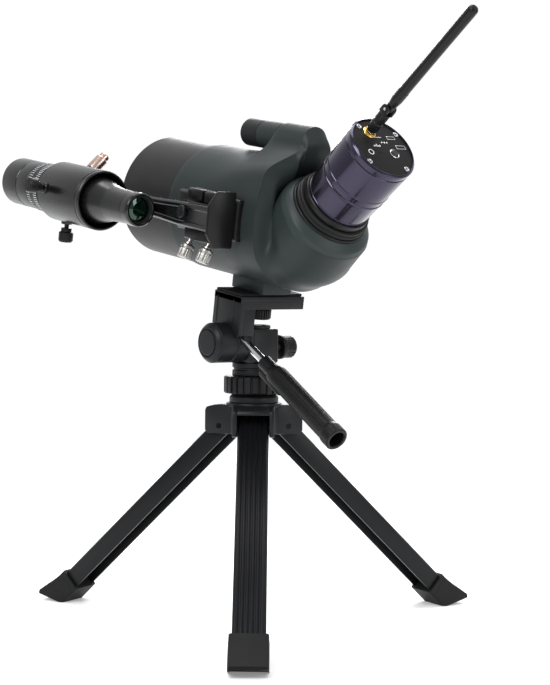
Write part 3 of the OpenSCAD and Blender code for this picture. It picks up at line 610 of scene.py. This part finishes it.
def build_body():
    body = "scope"
    ys = [69.3, 69.1, 68.5, 67.5, 62, 54, 46, 38, 32, 27, 22, 18, 14, 10, 6, 3, 0, -3, -6, -9, -12,
          -15, -18, -23, -29, -35, -40, -44]
    shrinks = [1.2, 0.5, 0.15] + [0] * (len(ys) - 3)
    rings = [whole(front_half(y, s)) for y, s in zip(ys, shrinks)]
    crest = crest_half()
    last = front_half(-52)
    near = [mix(l, c, 0.86) for l, c in zip(last, crest)]
    rings += [whole(near), whole(crest)]
    skin("armour", rings, TILT, "armour", body, ("body_armour", "main_tube"), ends=False, sharp=42)
    # the rear: from the crest in to the neck
    one, two, neck = [], [], []
    for k, (p, degrees) in enumerate(zip(crest, ROUND)):
        c = smoothstep((degrees + 48) / 34)
        inward = Vector((-p.x, 0, OPTIC - p.z)).normalized()
        step = (inward * 3.2 + Vector((0, -6, 0))) * (1 - c) + (inward * 14 + Vector((0, -4.5,
                0))) * c
        q = p + step
        if k <= 5:
            q = Vector((p.x * 0.93, -59.8 + 0.4 * k, (171.5, 171.4, 171, 169.6, 166, 162)[k]))
        one.append(q)
        e1 = 1 + 10 * sin(math.radians(degrees))
        n = neck_point(degrees, e1, NECK_R)
        out = (n - neck_point(degrees, e1, 0)).normalized()
        low = mix(q, n, 0.5) + out * 2.2
        high = n - out * 1.5 + Vector((0, sin(pi / 4), -cos(pi / 4))) * 7.5
        two.append(mix(low, high, c))
        neck.append(n)
    for k in range(6):
        two[k] = Vector((crest[k].x, -54.5, 156.5 - 0.3 * k))
    cross, steps = [], 25
    for k, degrees in enumerate(ROUND):
        end = neck_point(degrees, 15, NECK_R - 0.9)
        cross.append(curve_through([crest[k], one[k], two[k], neck[k], end], steps))
    rear = [whole([line[j] for line in cross]) for j in range(steps)]
    skin("housing", rear, TILT, "housing", body, ("prism_housing",), ends=False, sharp=60)
    lathe("front_lip", [(50.2, 66), (53.2, 66), (53.2, 69.2), (52.4, 69.5), (50.2, 69.5)], OPT,
          "armour", body, loop=True, soft=0.4)
    lathe("inner_tube", [(47.5, 60), (49.9, 60), (49.9, 104), (47.5, 104)], OPT, "inside", body,
          loop=True)
    # the collar's bevelled ring takes the lighter green, a painted highlight
    lathe("housing_collar", [(32.4, 13), (42.9, 13), (42.2, 16), (40.9, 19), (39.8, 20.2),
                             (37, 22.2), (34.2, 24.0), (32.4, 24.0)], EYE, "edge", body, loop=True,
          soft=0.9, wave=lambda a, z, r: r - max(0,
            r - 35) * 0.45 * smoothstep((sin(a) + 0.75) / 0.9))
    front = TILT @ T(0, 0, FOCUS_H) @ R("X", -90)
    lathe("focus_sleeve", [(0, -13), (11.8, -13), (11.8, 11.4), (11.2, 12.3), (0, 12.3)], front,
          "armour", body, soft=0.8)
    lathe("focus_grip", [(0, 12.9), (10.6, 12.9), (11.5, 13.8), (11.5, 33.4), (9.8, 35.6),
                         (8.2, 36), (0, 36)], front, "focus", "focuser",
          ("focus_knob", "focus_screw"), seg=216, wave=ribs(54, 0.25, 14.5, 33.2, 0.62, 10),
          sharp=28, soft=0.8)


def build_optics():
    body = "scope"
    fore = 143.5
    prof = [(50.15, 69.8), (52, 69.8), (52, 70.6), (52, fore - 1), (51.6, fore - 0.3), (50.8, fore),
            (50.2, fore - 0.5)]
    for k in range(12):
        z = fore - 3 - k * 3.2
        prof += [(50.2, z + 0.9), (49.4, z), (50.2, z - 0.9)]
    lathe("hood_shell", prof, OPT, "hood", "sunshade", ("hood",), seg=160, soft=0.3, loop=True)
    lathe("cell", [(42, 90), (47.4, 90), (47.4, 104), (46.6, 104.8), (43, 104.3), (43, 101),
                   (44.4, 101), (44.4, 92), (42, 92)], OPT, "inside", body, ("corrector_cell",),
          loop=True, soft=0.3)
    outer = [(4.4 * k, 93.0 + (4.4 * k) ** 2 / 360) for k in range(1, 11)]
    inner = [(4.4 * k, 95.8 + (4.4 * k) ** 2 / 370) for k in range(9, 0, -1)]
    lens = [(0, 93.0)] + outer + [(44.4, 99), (44, 101)] + inner + [(0, 95.8)]
    lathe("corrector", lens, OPT, "coated", body, ("corrector_lens",), soft=0)
    lathe("spot", [(0, 96.2), (15, 97.0), (15, 97.5), (0, 96.8)], OPT, "inside", body,
          ("secondary_baffle",), soft=0.1)


# ---------------------------------------------------------------- eyepiece end
def build_port():
    lathe("port_seat", [(16, 6), (33.7, 19), (33.7, 25.6), (33.0, 26.2), (22, 26.2), (22, 31),
                        (16, 31)], EYE, "collar", "scope", ("port_ring",), loop=True, soft=0.5)
    lathe("port_grip", [(22.3, 26.5), (31.9, 26.5), (32.5, 27.1), (32.5, 28.9), (31.3, 29.5),
                        (31.3, 30.1), (31.9, 30.7), (31.9, 32.3), (31.1, 32.8), (22.3, 32.8)], EYE,
          "soft", "port_clamp", ("clamp_ring",), loop=True, soft=0.25)


def build_camera():
    body = "camera"
    lathe("camera_foot", [(13.8, 7), (15.8, 7), (15.8, BASE_LOW), (28.9, BASE_LOW), (SHELL_R, 34.1),
                          (SHELL_R, 38.3), (28.9, BASE_TOP), (13.8, BASE_TOP)], EYE, "collar", body,
          ("camera_base",), loop=True, soft=0.3)
    r, narrowing = SHELL_R, 1.8
    prof = [(27.5, BASE_TOP), (r, BASE_TOP), (r, 40.2), (r - 0.45, 40.6), (r - 0.45, 41.2),
            (r, 41.6), (r, 60.6), (r + 0.45, 61.2), (r + 0.45, 62.2), (r, 62.8), (r - 0.3, 63.3),
            (r, 63.8), (r, 67.2), (r + 0.45, 67.8), (r + 0.45, 69.2), (r, 69.8), (r, 96.6),
            (r - 0.8, 97.0), (r - 0.8, 97.9), (r, 98.3), (r, 102.4), (r - 1.5, SHELL_TOP),
            (27.4, SHELL_TOP), (27.2, 102.9), (27.2, 100.6), (27.2, 95), (27.2, 60)]
    prof = [(q - narrowing * (SHELL_TOP - e) / (SHELL_TOP - BASE_TOP), e) for q, e in prof]
    lathe("camera_can", prof, EYE, "shell", body, ("camera_shell",), seg=160, loop=True, soft=0.25)
    lathe("camera_face", [(0, 102.9), (27.0, 102.9), (27.2, 102.6), (27.2, 100.5), (0, 100.5)], EYE,
          "end", body, ("camera_end_plate",), soft=0.15, seg=128)
    for k in range(4):
        at = EYE @ R("Z", 35 + 90 * k) @ T(24.8, 0, 0)
        lathe("face_screw", [(0.7, 102.3), (0.7, 103.3), (1.5, 103.6), (2.3, 103.4), (2.3, 102.8),
                             (0, 102.2)][::-1], at, "steel", body,
              ("end_screws",) if k == 0 else (), soft=0.15, seg=32)
        rod("screw_socket", 1.15, 102.4, 103.35, at, "chip", body, seg=6, soft=0.05)
    rod("socket_hole", 1.15, 102.95, 103.0, EYE @ T(-4.8, -5.1, 0), "inside", body, seg=24, soft=0)
    # a card slot, a data socket, three lamps and plain marks
    face = EYE @ T(0, 0, 102.9)
    box("slot_frame", (14, -0.6, -0.4), (24, 3.2, 0.35), face, "steel", body, bevel=0.2)
    box("slot_mouth", (14.8, 0.1, 0.1), (23.2, 2.5, 0.42), face, "inside", body, bevel=0.1)
    box("data_frame", (9, 8.6, -0.4), (17.4, 12.0, 0.35), face, "steel", body, bevel=0.3)
    box("data_mouth", (9.7, 9.3, 0.1), (16.7, 11.3, 0.42), face, "inside", body, bevel=0.2)
    for k in range(3):
        rod("lamp", 0.7, -0.2, 0.25, face @ T(1.5 + 2.6 * k, 5.4, 0), "mark", body, seg=20,
            soft=0.1)
    for k in range(5):
        box("mark_bar", (-8.4 + 1.5 * k, 1.2, -0.1), (-7.6 + 1.5 * k, 2.2 + 0.7 * (k % 3), 0.06),
            face, "mark", body, bevel=0)
    lathe("mark_ring", [(2.0, -0.1), (2.6, -0.1), (2.6, 0.06), (2.0, 0.06)], face @ T(-14, -4.5, 0),
          "mark", body, loop=True, soft=0, seg=40)
    box("mark_line", (-3.2, 10.2, -0.1), (3.4, 10.7, 0.06), face, "mark", body, bevel=0)
    lathe("button_seat", [(3.1, -0.3), (4.3, -0.3), (4.3, 0.3), (3.9, 0.5), (3.1, 0.2)],
          face @ T(9.5, -5.3, 0), "steel", body, loop=True, soft=0.1, seg=48)
    lathe("button_cap", [(0, 99), (3, 99), (3, 104.1), (2.5, 104.5), (0, 104.4)],
          EYE @ T(9.5, -5.3, 0), "button", "button", ("power_button",), soft=0.3, seg=48)
    # connector and aerial
    sma = EYE @ T(*SMA, 0)
    lathe("sma_flange", [(0, 102.8), (5.6, 102.8), (5.6, 103.6), (5.2, 104), (0, 104)], sma,
          "brass", body, ("sma_connector",), soft=0.2, seg=48)
    prism("sma_nut", [(4.8 * cos(pi / 3 * k), 4.8 * sin(pi / 3 * k)) for k in range(6)], 103.9,
          106.3, sma, "brass", body, bevel=0.3)
    lathe("sma_thread", [(0, 106)] + [(3.1 if k % 2 else 2.7, 106.3 + 0.33 * k)
                                      for k in range(8)] + [(0, 109)], sma, "brass", body, soft=0.1,
          seg=48)
    pin = 131
    lathe("aerial_nut", [(3.2, 106.9), (4.1, 106.9), (4.7, 107.6), (4.7, 115.4), (4.2, 116.2),
                         (4.2, 118), (4.7, 118.6), (4.7, 126.2), (4.2, 126.8), (0, 126.8)], sma,
          "aerial", "aerial_base", ("antenna_base",), seg=96,
          wave=ribs(24, 0.4, 107.8, 115.2, 0.6, 4), soft=0.3, sharp=28)
    hinge = sma @ T(0, 0, pin)
    for s in (-1, 1):
        tab = [(-4, -5), (4, -5), (4, 0)] + [(4 * cos(pi / 8 * k), 4 * sin(pi / 8 * k))
                for k in range(1, 8)] + [(-4, 0)]
        prism("aerial_fork", tab, 2.2, 4.6, hinge @ endwise(s), "aerial", "aerial_base", bevel=0.4)
    rod("aerial_pin", 1.2, -4.75, 4.75, hinge @ R("Y", 90), "steel", "aerial_base", seg=24)
    root = [(-3.3, 6.5), (-3.3, 0)] + [(-3.3 * cos(pi / 8 * k), -3.3 * sin(pi / 8 * k))
                                       for k in range(1, 8)] + [(3.3, 0), (3.3, 6.5)]
    prism("aerial_root", root, -1.8, 1.8, hinge @ endwise(), "aerial", "aerial", ("antenna_whip",),
          bevel=0.4)
    lathe("aerial_rod", [(0, 136), (3.6, 136), (4.5, 142.6), (4.5, 152), (4.2, 154), (4.1, 190),
                         (4.2, 242), (3.9, 244.2), (2.6, 245.7), (0, 246)], sma, "aerial", "aerial",
          soft=0.8, seg=64)
    # inside
    rod("board", 21, 90, 91.6, EYE, "board", body, ("circuit_board",), soft=0.1)
    box("board_chip", (-12, -9, 83), (12, 9, 90), EYE, "chip", body)


# ---------------------------------------------------------------- finder
def build_finder():
    body = "finder"
    back, front, ring_low, ring_high = 39.8, 233.8, 97.8, 163.8
    lathe("finder_sleeve", [(23.3, ring_low), (24.6, ring_low), (25.5, ring_low + 0.9),
                            (25.5, ring_low + 3.4), (24.7, ring_low + 3.9), (24.7, ring_low + 5.0),
                            (25.5, ring_low + 5.5), (25.5, ring_high - 1), (24.6, ring_high),
                            (23.3, ring_high)], FIND, "finder", body, ("finder_bracket",),
          loop=True, soft=0.35, seg=128)
    lathe("finder_barrel", [(11.5, back + 9), (13.4, back + 9), (13.6, back + 14),
                            (14.0, back + 30), (14.7, back + 39), (16.6, back + 48),
                            (19.2, back + 58), (21.0, back + 66), (21.8, back + 71),
                            (23.3, back + 72), (23.3, back + 75), (20, back + 76), (20, front - 34),
                            (18, front - 34), (18, back + 76), (11.5, back + 36)], FIND, "finder",
          body, ("finder_tube",), loop=True, soft=0.8, seg=128)
    lathe("finder_eye_rim", [(11.4, back), (13.0, back), (14.0, back + 1.0), (14.2, back + 3),
                             (14.2, back + 9.4), (13.7, back + 10.2), (11.4, back + 10.2)], FIND,
          "gloss", body, ("finder_eyepiece",), loop=True, soft=0.4, seg=96)
    lathe("finder_eye_glass", [(0, back + 2.6), (6, back + 3.0), (10.2, back + 4.0),
                               (10.2, back + 5.5), (0, back + 5.5)], FIND, "green", body,
          ("finder_eye_lens",), soft=0.1, seg=96)
    lathe("finder_eye_stop", [(10.0, back + 2.6), (10.9, back + 0.7), (11.7, back + 0.7),
                              (11.7, back + 5.0), (10.2, back + 5.0)], FIND, "inside", body,
          loop=True, soft=0.1, seg=96)
    cell = front - 42
    lathe("finder_bell", [(20.1, cell), (20.7, cell + 0.6), (20.7, front - 26),
                          (20.2, front - 25.4), (20.2, front - 24.6), (20.7, front - 24),
                          (20.7, front - 1), (19.8, front), (18, front), (17.7, front - 8),
                          (15, front - 8), (15, cell + 10), (20.1, cell + 10)], FIND, "finder",
          "finder_front", ("finder_objective_cell",), loop=True, soft=0.3, seg=128)
    for k in range(3):
        lathe("bell_thread", [(17.2, front - 6.6 + 2 * k), (17.9, front - 7.2 + 2 * k),
                              (17.9, front - 6.0 + 2 * k)], FIND, "inside", "finder_front",
              loop=True, soft=0.1)
    lathe("finder_front_glass", [(0, front - 3.6), (10, front - 4.2), (17.5, front - 6),
                                 (17.5, front - 8), (0, front - 8)], FIND, "coated", "finder_front",
          ("finder_objective_lens",), soft=0.1)
    lathe("finder_lock", [(20.1, cell - 22), (21.2, cell - 22), (22, cell - 21.2), (22, cell - 14),
                          (21.2, cell - 13.4), (21.2, cell - 1.2), (20.6, cell - 0.4),
                          (20.1, cell - 0.4)], FIND, "scale", "finder_lock", ("finder_lock_ring",),
          loop=True, soft=0.25, seg=240, wave=ribs(40, 0.5, cell - 21.0, cell - 14.2, 0.6, 21.3),
          sharp=28)
    ticks("scale_tick", 60, 21.15, 21.36, 0.42, cell - 7.6, cell - 2.6)
    ticks("scale_knurl", 72, 21.7, 22.15, 0.5, cell - 20.4, cell - 15.0)
    build_adjusters()
    build_arm(body)


def ticks(name, count, r0, r1, width, z0, z1):
    """Small bars in a ring, as one piece."""
    verts, faces = [], []
    for k in range(count):
        turn = R("Z", 360 * k / count)
        base = len(verts)
        for x in (r0, r1):
            for y in (-width / 2, width / 2):
                for z in (z0, z1):
                    verts.append(turn @ Vector((x, y, z)))
        faces += [tuple(base + i for i in f) for f in ((0, 1, 3, 2), (4, 6, 7, 5), (0, 4, 5, 1),
                (2, 3, 7, 6), (0, 2, 6, 4), (1, 5, 7, 3))]
    return add(name, verts, faces, FIND, "tick", "finder_lock", smooth=False)


def build_adjusters():
    for angle, body, node in ((172, "side_adjuster", "adjuster_screw_side"),
                              (270, "lower_adjuster", "adjuster_screw_lower")):
        at = ring_frame(angle)
        lathe("adjuster_boss", [(2.2, 24.4), (5, 24.4), (5, 26.9), (4.6, 27.4), (2.2, 27.4)], at,
              "finder", "finder", loop=True, soft=0.3, seg=48)
        lathe(node + "_turned", [(0, 20.5), (2, 20.5), (2, 30.4), (4.6, 30.8), (4.6, 33.6),
                                 (6.3, 34.6), (6.3, 41.6), (5.2, 43), (0, 43)], at, "knob", body,
              (node,), seg=144, wave=ribs(24, 0.5, 34.9, 41.4, 0.6, 5.8), soft=0.3, sharp=28)
    at = ring_frame(45)
    lathe("plunger_boss", [(2.7, 24.4), (5.6, 24.4), (5.6, 27.9), (5.0, 28.4), (2.7, 28.4)], at,
          "finder", "finder", loop=True, soft=0.3, seg=48)
    lathe("plunger_cap", [(0, 20.5), (2.5, 20.5), (2.5, 28.8), (5.2, 28.8), (5.8, 29.6),
                          (5.8, 42.2), (5.2, 42.9), (4.6, 43.2), (4.6, 46.4), (4, 47.5), (0, 47.5)],
          at, "copper", "plunger", ("spring_plunger",), seg=144,
          wave=ribs(24, 0.45, 29.9, 42.0, 0.6, 5.3), soft=0.3, sharp=28)


def build_arm(body):
    """The glossy arm from the dovetail foot to the finder's ring."""
    rings = []
    for y, low, high in ((-27.6, -9.6, 9.6), (-27.0, -10, 10), (14, -10, 9.6), (40, -8.6, 8.4),
                         (70, -7.8, 7.4), (96, -7.4, 6.2), (108, -7.2, 5.8), (109.6, -6, 5)):
        section = [(-74, OPTIC + low), (-80.6, OPTIC + low), (-82, OPTIC + low + 1.6),
                   (-82, OPTIC + low + 4.0), (-81.2, OPTIC + low + 4.8),
                   (-81.2, OPTIC + high - 4.8), (-82, OPTIC + high - 4.0),
                   (-82, OPTIC + high - 1.6), (-80.6, OPTIC + high), (-74, OPTIC + high)]
        rings.append([(p[0], y, p[1]) for p in rounded(section, 0.8, 3, closed=True)])
    skin("finder_arm", rings, TILT, "gloss", body)
    dove = [(-62.5, OPTIC + 14.4), (-71.6, OPTIC + 11), (-75.5, OPTIC + 11), (-75.5, OPTIC - 11),
            (-71.6, OPTIC - 11), (-62.5, OPTIC - 14.4)]
    prism("arm_foot", dove, -16, 27.6, TILT @ R("X", 90), "gloss", body, bevel=0.5)
    bolt = TILT @ T(-82, 7, OPTIC + 2) @ R("Y", -90)
    lathe("arm_bolt", [(0, 1.2), (2.2, 1.2), (2.6, 2.3), (4.6, 2.3), (5.2, 1.7), (5.2, -0.5),
                       (0, -0.5)], bolt, "knob", body, ("bracket_screw",), soft=0.3, seg=48)


def build_shoe():
    body = "scope"
    flat = TILT @ R("X", 90)
    for s in (-1, 1):
        jaw = [(-57, s * 21), (-70.6, s * 21), (-72, s * 19.6), (-72, s * 11.7), (-62.2, s * 15),
               (-62.2, s * 9), (-57, s * 9)]
        for k, (a, b) in enumerate(((-16, 4.6), (7.4, 28)) if s > 0 else ((-16, 28),)):
            prism("shoe_jaw", [(x, OPTIC + z) for x, z in jaw], a, b, flat, "shoe", body,
                  ("finder_shoe",) if s < 0 else (), bevel=0.6)
    prism("shoe_floor", [(-57, OPTIC - 20), (-61.8, OPTIC - 20), (-61.8, OPTIC + 20),
                         (-57, OPTIC + 20)], -16, 28, flat, "shoe", body, bevel=0.4)
    plate = [(-57, 23), (-75, 23), (-83, 12), (-83, -12), (-75, -23), (-57, -23)]
    prism("shoe_end", [(x, OPTIC + z) for x, z in plate], 28.05, 31, flat, "shoe", body, bevel=0.7,
          corner=2)
    # a base pad that runs forward along the body
    pad = [(-40, OPTIC - 17), (-54.6, OPTIC - 17), (-57, OPTIC - 14.6), (-57, OPTIC + 14.6),
           (-54.6, OPTIC + 17), (-40, OPTIC + 17)]
    prism("shoe_base", pad, -50, 33, flat, "shoe", body, bevel=1.6, corner=2)
    for name, y in (("front", 9), ("rear", -17)):
        node = "shoe_thumbscrew_" + name
        at = shoe_frame(y)
        lathe(node + "_turned", [(0, 0.4), (2, 0.4), (2, 10.6), (3.4, 11.0), (3.4, 12.6),
                                 (5.3, 13.2), (5.8, 13.8), (5.8, 15.6), (5.2, 16.0), (5.2, 16.6),
                                 (5.8, 17.0), (5.8, 23.6), (4.9, 24.5), (0, 24.5)], at, "thumb",
              "shoe_screw_" + name, (node,), seg=120, wave=ribs(24, 0.4, 17.1, 23.4, 0.6, 5.4),
              soft=0.2, sharp=28)
    box("foot_block", (-15, -24, 44), (15, 20, 62), TILT, "housing", body, ("mounting_foot",),
        bevel=1.2)


# ---------------------------------------------------------------- light and camera
VIEW_WAY = (0.617, 0.787)
VIEW_FROM = (-943.7, -1231.9, 308.8)


def stage():
    floor = bpy.data.meshes.new("floor")
    reach, sides = 1.5, 96
    turns = [2 * pi * k / sides for k in range(sides)]
    floor.from_pydata([(reach * cos(a), reach * sin(a), 0) for a in turns], [],
                      [tuple(range(sides))])
    pale = material("floor_pale", (0.88, 0.88, 0.88), 0.9, bump=0)
    glow = pale.node_tree.nodes["Principled BSDF"]
    glow.inputs["Emission Color"].default_value = (1, 1, 1, 1)
    glow.inputs["Emission Strength"].default_value = 0.22
    floor.materials.append(pale)
    ob = bpy.data.objects.new("floor", floor)
    bpy.context.scene.collection.objects.link(ob)
    world = bpy.data.worlds.new("studio")
    bpy.context.scene.world = world
    world.use_nodes = True
    sky = world.node_tree.nodes["Background"]
    sky.inputs[0].default_value = (0.98, 0.985, 1.0, 1)
    n, link = world.node_tree.nodes, world.node_tree.links.new
    way = n.new("ShaderNodeTexCoord")
    dot = n.new("ShaderNodeVectorMath")
    span = n.new("ShaderNodeMapRange")
    dot.operation = "DOT_PRODUCT"
    dot.inputs[1].default_value = (*VIEW_WAY, 0)
    for key, value in (("From Min", -0.1), ("From Max", 0.75), ("To Min", 0.5), ("To Max", 1.05)):
        span.inputs[key].default_value = value
    link(way.outputs["Generated"], dot.inputs[0])
    link(dot.outputs["Value"], span.inputs["Value"])
    link(span.outputs["Result"], sky.inputs[1])

    def lamp(name, at, aim, size, power, size_y=None):
        light = bpy.data.lights.new(name, "AREA")
        light.shape = "RECTANGLE"
        light.size, light.size_y = size, size_y or size
        light.energy = power
        ob = bpy.data.objects.new(name, light)
        ob.location = at
        ob.rotation_euler = (Vector(aim) - Vector(at)).to_track_quat("-Z", "Y").to_euler()
        bpy.context.scene.collection.objects.link(ob)
    target = (0, 0, 0.3)
    lamp("key", (-1.4, -0.5, 1.3), target, 0.9, 22)
    lamp("fill", (0.4, -1.5, 0.8), target, 0.5, 9, 1.2)
    lamp("top", (0.1, 0.2, 1.6), target, 1.0, 14)
    lamp("rim", (0.9, 1.0, 0.9), target, 0.6, 12)


def camera():
    data = bpy.data.cameras.new("view")
    data.lens, data.sensor_width, data.sensor_fit = 120.4, 36, "HORIZONTAL"
    data.clip_start, data.clip_end = 0.05, 30
    cam = bpy.data.objects.new("view", data)
    pitch, roll = math.radians(2.6), math.radians(0.57)
    ahead, across = VIEW_WAY
    norm = math.hypot(across, ahead)
    across, ahead = across / norm, ahead / norm
    forward = Vector((ahead * cos(pitch), across * cos(pitch), -sin(pitch)))
    right0 = Vector((across, -ahead, 0))
    up0 = right0.cross(forward)
    right = right0 * cos(roll) + up0 * sin(roll)
    up = up0 * cos(roll) - right0 * sin(roll)
    turn = Matrix((right, up, -forward)).transposed().to_4x4()
    cam.matrix_world = Matrix.Translation(Vector((SX + VIEW_FROM[0], SY + VIEW_FROM[1],
            VIEW_FROM[2])) * MM) @ turn
    bpy.context.scene.collection.objects.link(cam)
    bpy.context.scene.camera = cam


def paint_rest():
    """CAD nodes that stay shown take the same finishes."""
    slots = {s["node"]: s["material_slot"] for s in frame["record"]["subparts"]}
    slots["leg_pivot_pins"] = "moulded_black"
    by_slot = {m.name: m for m in M.values()}
    for node, ob in frame["nodes"].items():
        mat = by_slot.get(slots.get(node))
        if mat and ob.material_slots:
            for s in ob.material_slots:
                s.link = "OBJECT"
                s.material = mat
        elif mat:
            ob.data.materials.append(mat)


build_legs()
build_crown()
build_head()
build_tilt()
build_body()
build_optics()
build_port()
build_camera()
build_finder()
build_shoe()
paint_rest()
bpy.context.scene.view_settings.view_transform = "Standard"
stage()
camera()
